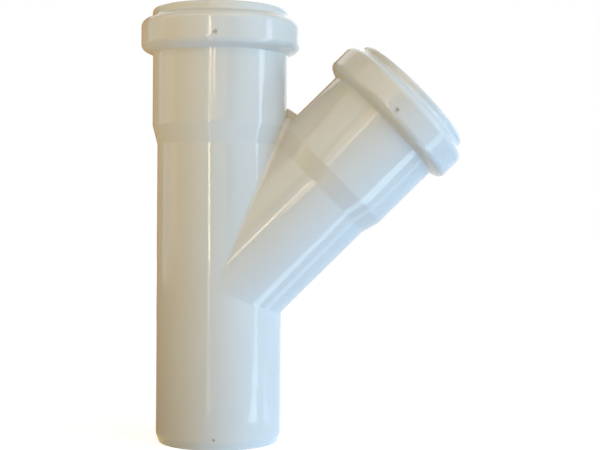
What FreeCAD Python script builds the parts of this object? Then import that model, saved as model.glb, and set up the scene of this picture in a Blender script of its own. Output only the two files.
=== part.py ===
import FreeCAD, Part
import os
from math import cos, radians, sin, tan

# A 45 degree branch of white polypropylene for push-fit waste pipe: a plain
# spigot at the foot of the run, and a ring-seal socket on the run and on the branch.
# Millimetres. The run stands on its spigot end along +Z, and the branch leans to +X.

# Pipe that the fitting joins, and its walls
spigot_radius = 25.0
spigot_wall = 1.8
body_wall = 1.9
socket_wall = 1.8

# Run and branch along their axes, the rounding of the crease between them, and how far below
# the crease the body starts
run_length = 172.8
crossing_height = 62.1
branch_length = 110.2
branch_angle = 45.0
crease_rounding = 1.5
crease_clearance = 1.7

# Spigot: its straight stretch, the slight taper up to the body, and the lead-in chamfer
spigot_length = 45.0
spigot_taper = 5.0
chamfer_height = 3.2
chamfer_depth = 1.2
chamfer_rounding = 2.0
end_rounding = 0.25

# Socket, from its mouth down
pipe_clearance = 0.3
lip_height = 3.3
lip_wall = 1.7
lip_clearance = 0.6
lip_rounding = 1.5
lip_root_rounding = 1.7
mouth_chamfer = 0.15
bead_height = 14.8
groove_depth = 4.65
bead_flank_angle = 25.0
bead_rounding = 3.0
groove_rounding = 1.6
bead_root_rounding = 0.5
stop_depth = 47.4
stop_lead = 1.0
taper_length = 7.6
taper_rounding = 4.0

# Web in the crotch between the two sockets
web_thickness = 3.0
web_rise = 6.2
web_reach = 5.4

# Shallow dimples that the mould's gates leave, on the front of each end
bead_gate_radius = 0.9
bead_gate_depth = 0.35
bead_gate_rise = 5.1
spigot_gate_radius = 0.6
spigot_gate_depth = 0.2
spigot_gate_height = 4.2

# Rubber ring in each groove, with a lip drawn back as round a pushed-in pipe
seal_clearance = 0.08
seal_rounding = 1.4
seal_face_recess = 0.8
seal_root_depth = 3.4
seal_gap = 1.3
seal_lip_clearance = 0.1
seal_lip_thickness = 1.0
seal_lip_land = 2.4
seal_lip_lift = 1.4
seal_lip_rounding = 0.4

# Radii that follow from the walls
passage_radius = spigot_radius - spigot_wall
body_radius = passage_radius + body_wall
bore_radius = spigot_radius + pipe_clearance
socket_radius = bore_radius + socket_wall
entry_radius = spigot_radius + lip_clearance
lip_radius = entry_radius + lip_wall
groove_radius = bore_radius + groove_depth
bead_radius = groove_radius + socket_wall
seal_face_radius = entry_radius + seal_face_recess
seal_lip_radius = spigot_radius + seal_lip_clearance

# Depths below the mouth: the bead's foot, the gate on the bead, and the top of the outer taper
bead_foot = lip_height + bead_height
bead_gate_drop = bead_foot - bead_gate_rise
taper_top_depth = stop_depth - stop_lead

X_AXIS = FreeCAD.Vector(1, 0, 0)
Y_AXIS = FreeCAD.Vector(0, 1, 0)
Z_AXIS = FreeCAD.Vector(0, 0, 1)
ORIGIN = FreeCAD.Vector(0, 0, 0)

# How near a point is to a surface to count as lying on it, how far a cut runs past an open end,
# and how much of a side the rounding at each of its ends may take
ON_SURFACE = 0.001
OVERRUN = 5.0
SIDE_SHARE = 0.49


def outline(corners):
    """Closed wire in the XZ plane through (radius, height, rounding) corners.

    Each rounding is an arc tangent to both sides, no larger than its sides have room for.
    """
    points = [FreeCAD.Vector(r, 0, z) for r, z, rounding in corners]
    starts, middles, ends = [], [], []
    for i, here in enumerate(points):
        to_last = points[i - 1] - here
        to_next = points[(i + 1) % len(points)] - here
        room = SIDE_SHARE * min(to_last.Length, to_next.Length)
        to_last.normalize()
        to_next.normalize()
        half = to_last.getAngle(to_next) / 2
        back = min(corners[i][2] / tan(half), room)
        inward = (to_last + to_next).normalize()
        starts.append(here + to_last * back)
        middles.append(here + inward * back * (1 / cos(half) - tan(half)))
        ends.append(here + to_next * back)
    edges = []
    for i in range(len(points)):
        if corners[i][2] > 0:
            edges.append(Part.Arc(starts[i], middles[i], ends[i]).toShape())
        edges.append(Part.LineSegment(ends[i], starts[(i + 1) % len(points)]).toShape())
    return Part.Wire(edges)


def turned(corners):
    """Solid of revolution about Z of a rounded outline."""
    return Part.Face(outline(corners)).revolve(ORIGIN, Z_AXIS, 360)


def on_branch(shape):
    """Moves a shape made along Z from the origin onto the branch's axis."""
    moved = shape.copy()
    moved.rotate(ORIGIN, Y_AXIS, branch_angle)
    moved.translate(Z_AXIS * crossing_height)
    return moved


def flank_drop(from_radius, to_radius):
    """Height that the bead's sloping flank takes between two radii."""
    return (to_radius - from_radius) * tan(radians(bead_flank_angle))


def socket_outside(mouth):
    """Outer corners of a socket, from the taper up to the middle of its mouth."""
    return [
        (body_radius, mouth - taper_top_depth - taper_length, taper_rounding),
        (socket_radius, mouth - taper_top_depth, taper_rounding),
        (socket_radius, mouth - bead_foot, bead_root_rounding),
        (bead_radius, mouth - bead_foot + flank_drop(socket_radius, bead_radius), bead_rounding),
        (bead_radius, mouth - lip_height - flank_drop(lip_radius, bead_radius), bead_rounding),
        (lip_radius, mouth - lip_height, lip_root_rounding),
        (lip_radius, mouth, lip_rounding),
        (0, mouth, 0),
    ]


def socket_inside(mouth):
    """Inner corners of a socket, from the pipe stop up past its mouth."""
    top_of_groove = mouth - lip_height - socket_wall
    foot_of_groove = mouth - bead_foot + socket_wall
    return [
        (passage_radius, mouth - stop_depth - taper_length, taper_rounding),
        (bore_radius, mouth - stop_depth, 0),
        (bore_radius, foot_of_groove, 0),
        (groove_radius, foot_of_groove + flank_drop(bore_radius, groove_radius), groove_rounding),
        (groove_radius, top_of_groove - flank_drop(entry_radius, groove_radius), groove_rounding),
        (entry_radius, top_of_groove, 0),
        (entry_radius, mouth - mouth_chamfer, 0),
        (entry_radius + mouth_chamfer, mouth, 0),
        (entry_radius + mouth_chamfer, mouth + OVERRUN, 0),
        (0, mouth + OVERRUN, 0),
    ]


def spigot_outside():
    """Solid in the spigot's outer shape, from its end up into the body."""
    taper_top = spigot_length + spigot_taper
    inside_body = max(crossing_height, taper_top + crease_clearance)
    return turned([
        (0, 0, 0),
        (spigot_radius - chamfer_depth, 0, end_rounding),
        (spigot_radius, chamfer_height, chamfer_rounding),
        (spigot_radius, spigot_length, 0),
        (body_radius, taper_top, 0),
        (body_radius, inside_body, 0),
        (0, inside_body, 0),
    ])


def run_outside():
    """Solid in the run's outer shape above the spigot, from just below the crease up to the mouth."""
    crease_foot = crossing_height - body_radius * tan(radians(branch_angle) / 2)
    foot = crease_foot - crease_clearance
    return turned([(0, foot, 0), (body_radius, foot, 0)] + socket_outside(run_length))


def branch_outside():
    """Solid in the branch's outer shape, from the run's axis out to its mouth."""
    return on_branch(turned([(0, 0, 0), (body_radius, 0, 0)] + socket_outside(branch_length)))


def run_inside():
    """Passage through the run, open past both of its ends."""
    foot = [(0, -OVERRUN, 0), (passage_radius, -OVERRUN, 0)]
    return turned(foot + socket_inside(run_length))


def branch_inside():
    """Passage from the run's axis out through the branch, open past its mouth."""
    foot = [(0, 0, 0), (passage_radius, 0, 0)]
    return on_branch(turned(foot + socket_inside(branch_length)))


def crotch_web():
    """Flat web that ties the two sockets together just above the place where they meet."""
    lean = radians(branch_angle)
    crotch = FreeCAD.Vector(
        socket_radius, 0, crossing_height + socket_radius * (1 + cos(lean)) / sin(lean)
    )
    along_branch = FreeCAD.Vector(sin(lean), 0, cos(lean))
    into_branch = FreeCAD.Vector(cos(lean), 0, -sin(lean))
    into_run = X_AXIS * -1
    corners = [
        crotch + Z_AXIS * web_rise,
        crotch + along_branch * web_reach,
        crotch + along_branch * web_reach + into_branch * socket_wall,
        crotch + into_run * socket_wall + into_branch * socket_wall,
        crotch + Z_AXIS * web_rise + into_run * socket_wall,
    ]
    face = Part.Face(Part.makePolygon(corners + corners[:1]))
    plate = face.extrude(Y_AXIS * web_thickness)
    plate.translate(Y_AXIS * (-web_thickness / 2))
    return plate


def gate_dimple(opening, depth, surface_radius, height):
    """Ball that cuts a shallow round dimple into the front of a round surface."""
    ball = (opening ** 2 + depth ** 2) / (2 * depth)
    centre = FreeCAD.Vector(0, -(surface_radius - depth + ball), height)
    return Part.makeSphere(ball, centre)


def gate_dimples():
    """The three gates' dimples: one on the front of each bead, and one by the spigot's end."""
    bead = (bead_gate_radius, bead_gate_depth, bead_radius)
    spigot = (spigot_gate_radius, spigot_gate_depth, spigot_radius)
    return [
        gate_dimple(*bead, run_length - bead_gate_drop),
        on_branch(gate_dimple(*bead, branch_length - bead_gate_drop)),
        gate_dimple(*spigot, spigot_gate_height),
    ]


def on_skin(edge, shape):
    """Whether the start, the middle and the end of an edge all lie on a shape's skin."""
    middle = (edge.FirstParameter + edge.LastParameter) / 2
    points = [edge.valueAt(place) for place in (edge.FirstParameter, middle, edge.LastParameter)]
    return all(shape.Shells[0].distToShape(Part.Vertex(point))[0] < ON_SURFACE for point in points)


def run_and_branch():
    """Outer shape of the run and the branch, with the crease where they meet rounded.

    The spigot joins them after the rounding, so that its taper may end inside the crease.
    """
    run, branch = run_outside(), branch_outside()
    joined = run.fuse(branch)
    crease = [edge for edge in joined.Edges if on_skin(edge, run) and on_skin(edge, branch)]
    return joined.makeFillet(crease_rounding, crease).fuse(spigot_outside())


def wye_body():
    """The moulding: its outer shape with the web, less the passages and the dimples."""
    outside = run_and_branch().fuse(crotch_web())
    passages = run_inside().fuse(branch_inside())
    return outside.cut([passages] + gate_dimples()).removeSplitter()


def seal_ring(mouth):
    """Ring whose back fills the groove, with a lip that hangs from its mouth side towards the stop."""
    back = groove_radius - seal_clearance
    top = mouth - lip_height - socket_wall - seal_clearance
    foot = mouth - bead_foot + socket_wall + seal_clearance
    front_top = top - flank_drop(entry_radius, seal_face_radius)
    lip_foot = foot + seal_lip_lift
    lip_back = seal_lip_radius + seal_lip_thickness
    gap_back = lip_back + seal_gap
    gap_top = front_top - seal_root_depth
    return turned([
        (seal_face_radius, front_top, seal_lip_rounding),
        (back, top - flank_drop(entry_radius, back), seal_rounding),
        (back, foot + flank_drop(bore_radius, back), seal_rounding),
        (gap_back, foot + flank_drop(bore_radius, gap_back), seal_lip_rounding),
        (gap_back, gap_top, seal_gap / 2),
        (lip_back, gap_top, seal_gap / 2),
        (lip_back, lip_foot, seal_lip_rounding),
        (seal_lip_radius, lip_foot, seal_lip_rounding),
        (seal_lip_radius, lip_foot + seal_lip_land, 0),
    ])


def export(shape, node):
    shape.exportStep(os.path.join("parts", node + ".step"))


os.makedirs("parts", exist_ok=True)
export(wye_body(), "wye_body")
export(seal_ring(run_length), "run_seal_ring")
export(on_branch(seal_ring(branch_length)), "branch_seal_ring")
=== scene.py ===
from math import cos, radians, sin

import bmesh
import bpy
from mathutils import Matrix, Vector


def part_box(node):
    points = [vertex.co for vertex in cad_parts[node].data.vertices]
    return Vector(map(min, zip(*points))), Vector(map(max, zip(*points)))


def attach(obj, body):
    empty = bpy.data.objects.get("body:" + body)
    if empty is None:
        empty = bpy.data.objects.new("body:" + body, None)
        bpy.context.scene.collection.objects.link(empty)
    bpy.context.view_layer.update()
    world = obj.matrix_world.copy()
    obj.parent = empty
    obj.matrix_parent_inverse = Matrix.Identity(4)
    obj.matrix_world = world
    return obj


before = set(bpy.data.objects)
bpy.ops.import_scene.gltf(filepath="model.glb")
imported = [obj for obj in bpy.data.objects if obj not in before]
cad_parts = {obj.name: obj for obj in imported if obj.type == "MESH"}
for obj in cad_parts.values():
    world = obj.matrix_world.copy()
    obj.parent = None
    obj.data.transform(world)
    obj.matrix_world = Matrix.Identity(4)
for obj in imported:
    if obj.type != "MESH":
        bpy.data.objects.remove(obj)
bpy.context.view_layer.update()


# Wye body
# The fitting is one injection moulding of white polypropylene: spigot, run, 45 degree branch
# and both sockets. It comes out of a polished mould, so it is glossy, with a faint waviness
# where the walls shrank.

MM = 0.001
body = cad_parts["wye_body"]
low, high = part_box("wye_body")

SPIGOT_RADIUS = 25.0 * MM
BEAD_RADIUS = -low.x
RUN_LENGTH = high.z
CROSSING_HEIGHT = 62.1 * MM
BRANCH_LENGTH = 110.2 * MM
BRANCH_LEAN = radians(45)
CROSSING = Vector((0, 0, CROSSING_HEIGHT))
ALONG_BRANCH = Vector((sin(BRANCH_LEAN), 0, cos(BRANCH_LEAN)))


def front_of(axis_point, radius):
    """Point on the front of a round wall, level with a point of its axis."""
    return axis_point + Vector((0, -radius, 0))


# The mould's gates have left three marks in front, one on each bead and one at the spigot's foot.
# A dark spot is coloured round each, as far as its reach: partly grime settled there, partly painted
# shade of the mark.
BEAD_GATE_DROP = 13.0 * MM
SPIGOT_GATE_HEIGHT = 4.2 * MM
BEAD_GATE_REACH = 1.3 * MM
SPIGOT_GATE_REACH = 0.8 * MM
RUN_GATE = front_of(Vector((0, 0, RUN_LENGTH - BEAD_GATE_DROP)), BEAD_RADIUS)
BRANCH_GATE = front_of(CROSSING + ALONG_BRANCH * (BRANCH_LENGTH - BEAD_GATE_DROP), BEAD_RADIUS)
SPIGOT_GATE = front_of(Vector((0, 0, SPIGOT_GATE_HEIGHT)), SPIGOT_RADIUS)
GATE_MARKS = [
    (RUN_GATE, BEAD_GATE_REACH),
    (BRANCH_GATE, BEAD_GATE_REACH),
    (SPIGOT_GATE, SPIGOT_GATE_REACH),
]

WHITE = "#D9D8D2"
WHITE_SHADE = "#D3D1C8"
CLOUD_SIZE = 30 * MM

# Colour of the gate marks: partly grime, partly painted shade of the marks
DIRT_AND_SHADE = "#5E564A"
DIRT_AND_SHADE_SPECKLE = 1.2 * MM
DIRT_AND_SHADE_SCATTER = 1.8 * MM
DIRT_AND_SHADE_CORE = 0.3
DIRT_AND_SHADE_STRENGTH = 0.5

POLYPROPYLENE_IOR = 1.49
POLISHED_ROUGHNESS = 0.09
WIPE_SIZE = 8 * MM
WIPED_SMOOTHER = 0.02
WIPED_DULLER = 0.05
NOISE_LEAST = 0.3
NOISE_MOST = 0.8

SHRINK_WAVE = 22 * MM
SHRINK_DEPTH = 0.12 * MM
GRAIN_SIZE = 0.9 * MM
POLISHED_GRAIN_DEPTH = 0.002 * MM

# A Mix node's sockets for two colours go by number, because those for plain values share their names
MIX_SHARE = 0
MIX_FIRST = 6
MIX_SECOND = 7
MIX_RESULT = 2


def linear(hex_colour):
    """Turns an sRGB hex colour to the linear values that a shader takes."""
    channels = [int(hex_colour[i:i + 2], 16) / 255 for i in (1, 3, 5)]
    return [c / 12.92 if c <= 0.04045 else ((c + 0.055) / 1.055) ** 2.4 for c in channels] + [1.0]


def add_node(owner, kind, settings, links):
    """Adds a shader node to a material or the world, with its settings, and links its inputs."""
    tree = owner.node_tree
    node = tree.nodes.new("ShaderNode" + kind)
    for name, value in settings.items():
        if isinstance(name, str) and hasattr(node, name):
            setattr(node, name, value)
        else:
            node.inputs[name].default_value = value
    for name, source in links.items():
        tree.links.new(source, node.inputs[name])
    return node


def new_material(name):
    """Empty node material with its output node."""
    material = bpy.data.materials.new(name)
    material.use_nodes = True
    material.node_tree.nodes.clear()
    return material, add_node(material, "OutputMaterial", {}, {})


def give_material(piece, material):
    """Covers a whole piece in one material."""
    piece.data.materials.clear()
    piece.data.materials.append(material)
    piece.data.polygons.foreach_set("material_index", [0] * len(piece.data.polygons))


def near_point(material, point, inner, outer, place):
    """Mask that is 1 within inner of a point and fades to 0 at outer."""
    away = add_node(material, "VectorMath", {"operation": "DISTANCE", 1: point}, {0: place})
    return add_node(
        material, "MapRange",
        {"interpolation_type": "SMOOTHSTEP", "From Min": outer, "From Max": inner},
        {"Value": away.outputs["Value"]},
    ).outputs["Result"]


def polypropylene(name, grain_depth, roughness):
    """Injection-moulded white polypropylene: an even, opaque white with a soft plastic gloss."""
    material, output = new_material(name)
    place = add_node(material, "TexCoord", {}, {}).outputs["Object"]

    # Colour: the pigment is even, apart from a very slight cloudiness
    clouds = add_node(material, "TexNoise", {"Scale": 1 / CLOUD_SIZE, "Detail": 2.0}, {"Vector": place})
    pigment = add_node(
        material, "Mix",
        {"data_type": "RGBA", MIX_FIRST: linear(WHITE), MIX_SECOND: linear(WHITE_SHADE)},
        {MIX_SHARE: clouds.outputs["Fac"]},
    ).outputs[MIX_RESULT]

    # Dark gate marks, partly grime and partly painted shade, with a broken edge: noise pushes each
    # place by up to the scatter, and on average by half of it, so the marks are moved by that half too
    speckle = add_node(
        material, "TexNoise", {"Scale": 1 / DIRT_AND_SHADE_SPECKLE, "Detail": 3.0}, {"Vector": place},
    )
    scattered = add_node(
        material, "VectorMath", {"operation": "MULTIPLY_ADD", 1: (DIRT_AND_SHADE_SCATTER,) * 3},
        {0: speckle.outputs["Color"], 2: place},
    ).outputs["Vector"]
    for point, reach in GATE_MARKS:
        centre = point + Vector((DIRT_AND_SHADE_SCATTER / 2,) * 3)
        mask = near_point(material, centre, reach * DIRT_AND_SHADE_CORE, reach, scattered)
        share = add_node(material, "Math", {"operation": "MULTIPLY", 1: DIRT_AND_SHADE_STRENGTH}, {0: mask})
        pigment = add_node(
            material, "Mix", {"data_type": "RGBA", MIX_SECOND: linear(DIRT_AND_SHADE)},
            {MIX_SHARE: share.outputs["Value"], MIX_FIRST: pigment},
        ).outputs[MIX_RESULT]

    # Gloss: handling has smoothed it in some patches and dulled it in others
    wipes = add_node(material, "TexNoise", {"Scale": 1 / WIPE_SIZE, "Detail": 4.0}, {"Vector": place})
    dullness = add_node(
        material, "MapRange",
        {"From Min": NOISE_LEAST, "From Max": NOISE_MOST,
         "To Min": roughness - WIPED_SMOOTHER, "To Max": roughness + WIPED_DULLER},
        {"Value": wipes.outputs["Fac"]},
    ).outputs["Result"]

    # Surface: shrinkage waves, and the grain of the mould face. Real grain is far finer than a
    # picture shows, so it is drawn as coarse as it needs to be seen.
    waves = add_node(material, "TexNoise", {"Scale": 1 / SHRINK_WAVE, "Detail": 1.0}, {"Vector": place})
    wavy = add_node(
        material, "Bump", {"Strength": 1.0, "Distance": SHRINK_DEPTH}, {"Height": waves.outputs["Fac"]},
    ).outputs["Normal"]
    grain = add_node(material, "TexNoise", {"Scale": 1 / GRAIN_SIZE, "Detail": 2.0}, {"Vector": place})
    grained = add_node(
        material, "Bump", {"Strength": 1.0, "Distance": grain_depth},
        {"Height": grain.outputs["Fac"], "Normal": wavy},
    ).outputs["Normal"]

    shader = add_node(
        material, "BsdfPrincipled", {"IOR": POLYPROPYLENE_IOR},
        {"Base Color": pigment, "Roughness": dullness, "Normal": grained},
    )
    material.node_tree.links.new(shader.outputs["BSDF"], output.inputs["Surface"])
    return material


give_material(body, polypropylene("moulded_polypropylene", POLISHED_GRAIN_DEPTH, POLISHED_ROUGHNESS))


# Bare panel
# A low raised panel on the front of the run's socket, moulded with the body. Its mould face
# was eroded and not polished, so it is slightly matt. Nothing is written on it.

SOCKET_RADIUS = 27.1 * MM
PANEL_HALF_WIDTH = 5.6 * MM
PANEL_FOOT = 126.9 * MM
PANEL_TOP = 136.1 * MM
PANEL_CORNER = 0.6 * MM
PANEL_RISE = 0.07 * MM
PANEL_SINK = 0.15 * MM
PANEL_EDGE_ROUNDING = 0.06 * MM
PANEL_COLUMNS = 24
RIM_ANGLE = radians(60)
ERODED_GRAIN_DEPTH = 0.05 * MM
ERODED_ROUGHNESS = 0.12


def raised_panel():
    """Flat rectangle, cut into columns, given its thickness and wrapped round the socket."""
    mesh = bmesh.new()
    bmesh.ops.create_grid(mesh, x_segments=PANEL_COLUMNS, y_segments=2, size=1)
    half_size = Vector((PANEL_HALF_WIDTH, (PANEL_TOP - PANEL_FOOT) / 2, 1))
    bmesh.ops.scale(mesh, vec=half_size, verts=mesh.verts)
    corners = [v for v in mesh.verts if len(v.link_faces) == 1]
    bmesh.ops.bevel(
        mesh, geom=corners, offset=PANEL_CORNER, segments=4, profile=0.5,
        affect="VERTICES", material=-1,
    )
    bottom = list(mesh.faces)
    raised = bmesh.ops.extrude_face_region(mesh, geom=bottom)["geom"]
    lifted = [v for v in raised if isinstance(v, bmesh.types.BMVert)]
    bmesh.ops.translate(mesh, vec=(0, 0, PANEL_RISE + PANEL_SINK), verts=lifted)
    rim = [
        e for e in mesh.edges
        if all(v in lifted for v in e.verts) and e.calc_face_angle(0) > RIM_ANGLE
    ]
    bmesh.ops.bevel(
        mesh, geom=rim, offset=PANEL_EDGE_ROUNDING, segments=3, profile=0.5,
        affect="EDGES", material=-1,
    )
    middle = (PANEL_TOP + PANEL_FOOT) / 2
    for vertex in mesh.verts:
        angle = vertex.co.x / SOCKET_RADIUS
        radius = SOCKET_RADIUS - PANEL_SINK + vertex.co.z
        vertex.co = Vector((radius * sin(angle), -radius * cos(angle), middle + vertex.co.y))
    bmesh.ops.recalc_face_normals(mesh, faces=mesh.faces)
    data = bpy.data.meshes.new("bare_panel")
    mesh.to_mesh(data)
    mesh.free()
    piece = bpy.data.objects.new("bare_panel", data)
    bpy.context.scene.collection.objects.link(piece)
    return piece


panel = raised_panel()
give_material(panel, polypropylene("eroded_polypropylene", ERODED_GRAIN_DEPTH, ERODED_ROUGHNESS))
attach(panel, "root")


# Seal rings
# A ring of black rubber sits in the groove of each socket. It is moulded, matt, and a little
# bloomed, and its lip is drawn back as it lies round a pushed-in pipe.

RUBBER = "#1C1C1D"
RUBBER_BLOOM = "#2C2C2E"
RUBBER_IOR = 1.52
CLEAN_ROUGHNESS = 0.45
BLOOMED_ROUGHNESS = 0.65
BLOOM_SIZE = 5 * MM
GRIT_SIZE = 0.5 * MM
GRIT_DEPTH = 0.01 * MM


def seal_rubber():
    """Moulded black rubber: matt, with a grey bloom in patches that is duller still."""
    material, output = new_material("moulded_rubber")
    place = add_node(material, "TexCoord", {}, {}).outputs["Object"]
    bloom = add_node(material, "TexNoise", {"Scale": 1 / BLOOM_SIZE, "Detail": 4.0}, {"Vector": place})
    colour = add_node(
        material, "Mix",
        {"data_type": "RGBA", MIX_FIRST: linear(RUBBER), MIX_SECOND: linear(RUBBER_BLOOM)},
        {MIX_SHARE: bloom.outputs["Fac"]},
    ).outputs[MIX_RESULT]
    dullness = add_node(
        material, "MapRange", {"To Min": CLEAN_ROUGHNESS, "To Max": BLOOMED_ROUGHNESS},
        {"Value": bloom.outputs["Fac"]},
    ).outputs["Result"]

    # Grit of the mould face, drawn coarser than it is
    grit = add_node(material, "TexNoise", {"Scale": 1 / GRIT_SIZE, "Detail": 2.0}, {"Vector": place})
    gritty = add_node(
        material, "Bump", {"Strength": 1.0, "Distance": GRIT_DEPTH}, {"Height": grit.outputs["Fac"]},
    ).outputs["Normal"]
    shader = add_node(
        material, "BsdfPrincipled", {"IOR": RUBBER_IOR},
        {"Base Color": colour, "Roughness": dullness, "Normal": gritty},
    )
    material.node_tree.links.new(shader.outputs["BSDF"], output.inputs["Surface"])
    return material


rubber = seal_rubber()
for name in ("run_seal_ring", "branch_seal_ring"):
    give_material(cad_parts[name], rubber)


# Floor and background
# A plain white floor, which keeps the soft shadow of the fitting, under a white background. Both
# are white to the eye and in reflections, and add little light of their own.

FLOOR_SIZE = 8.0
FLOOR_COLOUR = "#E0E0DE"
FLOOR_GLOW = 0.7
FAR_GLOW = 1.0
GLOW_START = 0.3
GLOW_END = 1.2
AMBIENT = "#303030"
BACKGROUND = "#FFFFFF"


def floor_sheet():
    """White sheet at the height that the spigot stands on."""
    mesh = bmesh.new()
    bmesh.ops.create_grid(mesh, x_segments=1, y_segments=1, size=FLOOR_SIZE / 2)
    data = bpy.data.meshes.new("floor")
    mesh.to_mesh(data)
    mesh.free()
    floor = bpy.data.objects.new("floor", data)
    bpy.context.scene.collection.objects.link(floor)
    return floor


def seen_rays(owner):
    """1 for a ray from the camera, a reflection or a refraction, and 0 for one that only lights."""
    rays = add_node(owner, "LightPath", {}, {}).outputs
    either = add_node(
        owner, "Math", {"operation": "MAXIMUM"}, {0: rays["Is Camera Ray"], 1: rays["Is Glossy Ray"]},
    ).outputs["Value"]
    return add_node(
        owner, "Math", {"operation": "MAXIMUM"}, {0: either, 1: rays["Is Transmission Ray"]},
    ).outputs["Value"]


def white_floor():
    """Matt white that glows for the eye, more from 0.3 m outwards until it meets the background."""
    material, output = new_material("white_floor")
    sheet = add_node(material, "BsdfDiffuse", {"Color": linear(FLOOR_COLOUR)}, {})
    place = add_node(material, "TexCoord", {}, {}).outputs["Object"]
    from_middle = add_node(material, "VectorMath", {"operation": "LENGTH"}, {0: place})
    rising = add_node(
        material, "MapRange",
        {"interpolation_type": "SMOOTHSTEP", "From Min": GLOW_START, "From Max": GLOW_END,
         "To Min": FLOOR_GLOW, "To Max": FAR_GLOW},
        {"Value": from_middle.outputs["Value"]},
    )
    level = add_node(
        material, "Math", {"operation": "MULTIPLY"},
        {0: seen_rays(material), 1: rising.outputs["Result"]},
    )
    glow = add_node(material, "Emission", {}, {"Strength": level.outputs["Value"]})
    both = add_node(material, "AddShader", {}, {0: sheet.outputs["BSDF"], 1: glow.outputs["Emission"]})
    material.node_tree.links.new(both.outputs["Shader"], output.inputs["Surface"])
    return material


def white_background():
    """World that the eye sees as white, and that lights the fitting a little from all round."""
    world = bpy.data.worlds.new("studio")
    world.use_nodes = True
    world.node_tree.nodes.clear()
    ambient = add_node(world, "Background", {"Color": linear(AMBIENT)}, {}).outputs["Background"]
    white = add_node(world, "Background", {"Color": linear(BACKGROUND)}, {}).outputs["Background"]
    shown = add_node(world, "MixShader", {}, {0: seen_rays(world), 1: ambient, 2: white})
    add_node(world, "OutputWorld", {}, {"Surface": shown.outputs["Shader"]})
    return world


floor = floor_sheet()
give_material(floor, white_floor())
floor.visible_shadow = False
bpy.context.scene.world = white_background()


# Lamps
# Large soft panels, warm from the left and cool as daylight from the right, and narrow strips
# that draw the long highlights on the gloss. Brightness is power over area, in W/m2.

CENTRE = Vector((30, 0, 90)) * MM
UP = Vector((0, 0, 1))
DOWN = Vector((0, 0, -1))
STRIP_LIFT_MM = 3


def area_lamp(name, place, back, up, width, height, colour, brightness):
    """Flat lamp with its back to one direction, which the camera doesn't see."""
    data = bpy.data.lights.new(name, "AREA")
    data.shape = "RECTANGLE"
    data.size = width
    data.size_y = height
    data.color = linear(colour)[:3]
    data.energy = brightness * width * height
    lamp = bpy.data.objects.new(name, data)
    bpy.context.scene.collection.objects.link(lamp)
    across = up.cross(back).normalized()
    turn = Matrix((across, back.cross(across), back)).transposed()
    lamp.matrix_world = Matrix.Translation(place) @ turn.to_4x4()
    lamp.visible_camera = False
    return lamp


def soft_panel(name, azimuth, elevation, distance, width, height, colour, brightness):
    """Large lamp that faces the fitting, from azimuth degrees right of the camera's side."""
    around, above = radians(azimuth), radians(elevation)
    back = Vector((sin(around) * cos(above), -cos(around) * cos(above), sin(above)))
    return area_lamp(name, CENTRE + back * distance, back, UP, width, height, colour, brightness)


soft_panel(
    "left_panel", azimuth=-66, elevation=13, distance=1.8, width=2.4, height=0.95,
    colour="#FFA800", brightness=1.6,
)
soft_panel(
    "left_high_panel", azimuth=-60, elevation=35, distance=0.8, width=0.9, height=0.6,
    colour="#EAFFF4", brightness=2.6,
)
right_low_panel = soft_panel(
    "right_low_panel", azimuth=68, elevation=-25, distance=1.8, width=2.4, height=0.7,
    colour="#7CBBFF", brightness=16.1,
)
soft_panel(
    "front_high_panel", azimuth=10, elevation=40, distance=0.8, width=0.8, height=0.6,
    colour="#FFD381", brightness=5.0,
)
right_panel = soft_panel(
    "right_panel", azimuth=68, elevation=13, distance=1.8, width=2.4, height=0.95,
    colour="#C4EAFF", brightness=9.5,
)
soft_panel(
    "top_panel", azimuth=60, elevation=62, distance=1.8, width=1.8, height=1.6,
    colour="#BBD5FF", brightness=2.8,
)
soft_panel(
    "back_panel", azimuth=180, elevation=30, distance=1.8, width=2.4, height=1.6,
    colour="#FFFFFF", brightness=1.9,
)
left_bounce = area_lamp(
    "left_bounce", place=Vector((-0.45, -0.1, 0.004)), back=DOWN, up=Vector((0, 1, 0)),
    width=0.6, height=0.9, colour="#FFE9B1", brightness=3.0,
)

# The low panel on the right stands under the floor and shines through it, because the floor casts
# no shadow. Only rays that look for a lamp pass the floor, so it is sampled by those alone.
right_low_panel.data.cycles.use_multiple_importance_sampling = False

# The edges of these three would leave hard marks in the gloss of the round walls, so it omits them
for lamp in (right_low_panel, right_panel, left_bounce):
    lamp.visible_glossy = False


def strip_lamp(name, start, end, width, colour, brightness, back=None):
    """Narrow lamp between two points, given in mm, that shows in the gloss and lights nothing else."""
    start, end = Vector(start) * MM, Vector(end) * MM
    along = (end - start).normalized()
    place = (start + end) / 2
    if back is None:
        back = place - CENTRE
    back = (back - along * back.dot(along)).normalized()
    lamp = area_lamp(name, place, back, along, width * MM, (end - start).length, colour, brightness)
    lamp.visible_diffuse = False
    return lamp


def floor_strip(name, start, end, width, colour, brightness):
    """Strip that lies face up on the floor, in place of one below, which the floor would hide."""
    start, end = (*start, STRIP_LIFT_MM), (*end, STRIP_LIFT_MM)
    return strip_lamp(name, start, end, width, colour, brightness, back=DOWN)


# Warm lines, from 1.6 m in front: the one down the run and its socket, and the one along the branch
strip_lamp(
    "warm_strip", start=(-400, -1600, 5), end=(-455, -1600, 230), width=45,
    colour="#FFEFAF", brightness=70.8,
)
strip_lamp(
    "warm_high_strip", start=(-400, -1600, 290), end=(-290, -1600, 520), width=45,
    colour="#FFE5B7", brightness=50.6,
)
strip_lamp(
    "warm_socket_strip", start=(-170, -1600, 295), end=(-178, -1600, 400), width=40,
    colour="#FFDA8A", brightness=55.1,
)
strip_lamp(
    "warm_top_strip", start=(-225, -1600, 470), end=(-225, -1600, 690), width=55,
    colour="#FFE7BA", brightness=18.0,
)

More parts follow.
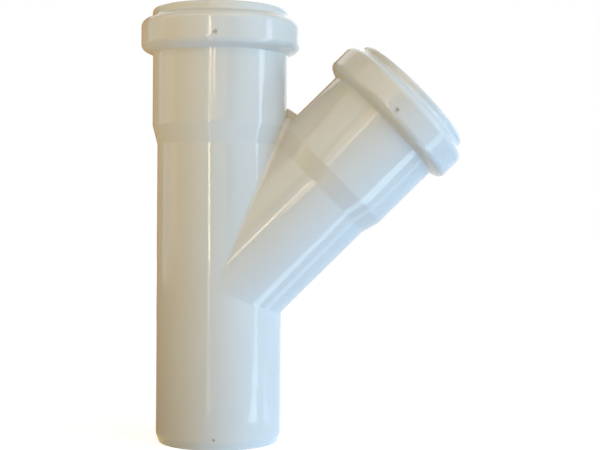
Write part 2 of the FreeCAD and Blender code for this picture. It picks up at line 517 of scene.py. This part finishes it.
# The rest of the run's warm line, down to the spigot's foot
floor_strip(
    "warm_floor_strip", start=(-105, -400), end=(-395, -1590), width=45,
    colour="#FFE7BA", brightness=9.0,
)
floor_strip(
    "warm_near_floor_strip", start=(-21, -92), end=(-105, -400), width=12,
    colour="#FFE7BA", brightness=6.0,
)

# The cool line on the right of the run and its socket
strip_lamp(
    "cool_strip", start=(820, -215, 5), end=(820, -190, 300), width=150,
    colour="#DAE8FF", brightness=12.9,
)

# Two cool lines along the lower side of the branch, each with one strip for the tube and one for
# the socket, and a far strip for the branch's bead and the right of the spigot
floor_strip(
    "cool_floor_strip", start=(55, -36), end=(142, -58), width=21,
    colour="#CDF0FF", brightness=12.0,
)
floor_strip(
    "cool_socket_floor_strip", start=(155, -56), end=(222, -73), width=44,
    colour="#D6F2FF", brightness=12.7,
)
floor_strip(
    "cool_rear_floor_strip", start=(60, -2), end=(142, 4), width=18,
    colour="#E0FFFE", brightness=4.2,
)
floor_strip(
    "cool_rear_socket_floor_strip", start=(155, 12), end=(222, 16), width=26,
    colour="#D7FFE8", brightness=3.4,
)
floor_strip(
    "cool_far_floor_strip", start=(225, -70), end=(720, -205), width=45,
    colour="#CBF9FF", brightness=8.3,
)


# Reflection cards
# Three cards round the fitting that only the gloss sees. Two warm ones, behind on the left and in
# front on the left, have a foot that lies on the floor up to the fitting and keep its outline from
# fading into the white. A tall one is the daylight on the right.

CARD_DISTANCE = 0.8
CARD_HEIGHT = 0.6
CARD_LIFT = 0.0005


def upright_sheet(start, end, height):
    """Upright sheet, square to the camera, from start to end metres right of the middle."""
    mesh = bmesh.new()
    bmesh.ops.create_grid(mesh, x_segments=1, y_segments=1, size=0.5)
    bmesh.ops.scale(mesh, vec=(end - start, height, 1), verts=mesh.verts)
    bmesh.ops.translate(mesh, vec=((start + end) / 2, height / 2, 0), verts=mesh.verts)
    bmesh.ops.rotate(mesh, matrix=Matrix.Rotation(radians(90), 3, "X"), verts=mesh.verts)
    return mesh


def set_card(name, mesh, azimuth, distance, material):
    """Sets a sheet out at its azimuth and distance, where only reflections meet it."""
    bmesh.ops.translate(mesh, vec=(0, -distance, CARD_LIFT), verts=mesh.verts)
    bmesh.ops.rotate(mesh, matrix=Matrix.Rotation(radians(azimuth), 3, "Z"), verts=mesh.verts)
    data = bpy.data.meshes.new(name)
    mesh.to_mesh(data)
    mesh.free()
    card = bpy.data.objects.new(name, data)
    bpy.context.scene.collection.objects.link(card)
    give_material(card, material)
    card.visible_camera = False
    card.visible_diffuse = False
    card.visible_shadow = False
    return card


def warm_card(name, azimuth, start, end, colour):
    """Card of one colour, square to its azimuth, with a foot that reaches to under the fitting."""
    mesh = upright_sheet(start, end, CARD_HEIGHT)
    lower_edge = [e for e in mesh.edges if all(v.co.z < CARD_HEIGHT / 2 for v in e.verts)]
    foot = bmesh.ops.extrude_edge_only(mesh, edges=lower_edge)["geom"]
    foot_end = [v for v in foot if isinstance(v, bmesh.types.BMVert)]
    bmesh.ops.translate(mesh, vec=(0, CARD_DISTANCE, 0), verts=foot_end)
    material, output = new_material(name)
    even = add_node(material, "Emission", {"Color": linear(colour)}, {})
    material.node_tree.links.new(even.outputs["Emission"], output.inputs["Surface"])
    return set_card(name, mesh, azimuth, CARD_DISTANCE, material)


def daylight_card(name, azimuth, distance, start, full, end, height, colour, brightness):
    """Tall card, dark at its left edge and fully bright only from full on, so no edge shows."""
    mesh = upright_sheet(start, end, height)
    material, output = new_material(name)
    place = add_node(material, "TexCoord", {}, {}).outputs["Object"]
    right = Vector((cos(radians(azimuth)), sin(radians(azimuth)), 0))
    across = add_node(material, "VectorMath", {"operation": "DOT_PRODUCT", 1: right}, {0: place})
    level = add_node(
        material, "MapRange",
        {"interpolation_type": "SMOOTHSTEP", "From Min": start, "From Max": full,
         "To Max": brightness},
        {"Value": across.outputs["Value"]},
    )
    sky = add_node(
        material, "Emission", {"Color": linear(colour)}, {"Strength": level.outputs["Result"]},
    )
    material.node_tree.links.new(sky.outputs["Emission"], output.inputs["Surface"])
    return set_card(name, mesh, azimuth, distance, material)


warm_card("left_card", azimuth=-172, start=0.0, end=0.95, colour="#BE9358")
warm_card("front_left_card", azimuth=-17, start=-1.6, end=0, colour="#FFE28A")
daylight_card(
    "daylight_card", azimuth=68, distance=1.8, start=-2.4, full=-0.3, end=1.2, height=0.95,
    colour="#E7F4FF", brightness=1.2,
)


# Camera
# It stands 0.48 m in front, level with the middle of the fitting, and is turned by less than
# half a degree each way.

CAMERA_PLACE = Vector((33.665, -481.247, 90.503)) * MM
CAMERA_TURN_RIGHT = -0.146
CAMERA_TILT_UP = -0.426
CAMERA_ROLL = 0.426
SENSOR_WIDTH = 36.0
FOCAL_PIXELS = 1193.38
IMAGE_WIDTH = 600
NEAREST_SEEN = 10 * MM

lens = bpy.data.cameras.new("camera")
lens.sensor_width = SENSOR_WIDTH
lens.lens = FOCAL_PIXELS / IMAGE_WIDTH * SENSOR_WIDTH
lens.clip_start = NEAREST_SEEN
camera = bpy.data.objects.new("camera", lens)
bpy.context.scene.collection.objects.link(camera)
camera.matrix_world = (
    Matrix.Translation(CAMERA_PLACE)
    @ Matrix.Rotation(radians(-CAMERA_TURN_RIGHT), 4, "Z")
    @ Matrix.Rotation(radians(90 + CAMERA_TILT_UP), 4, "X")
    @ Matrix.Rotation(radians(CAMERA_ROLL), 4, "Z")
)
bpy.context.scene.camera = camera
bpy.context.scene.view_settings.view_transform = "Standard"
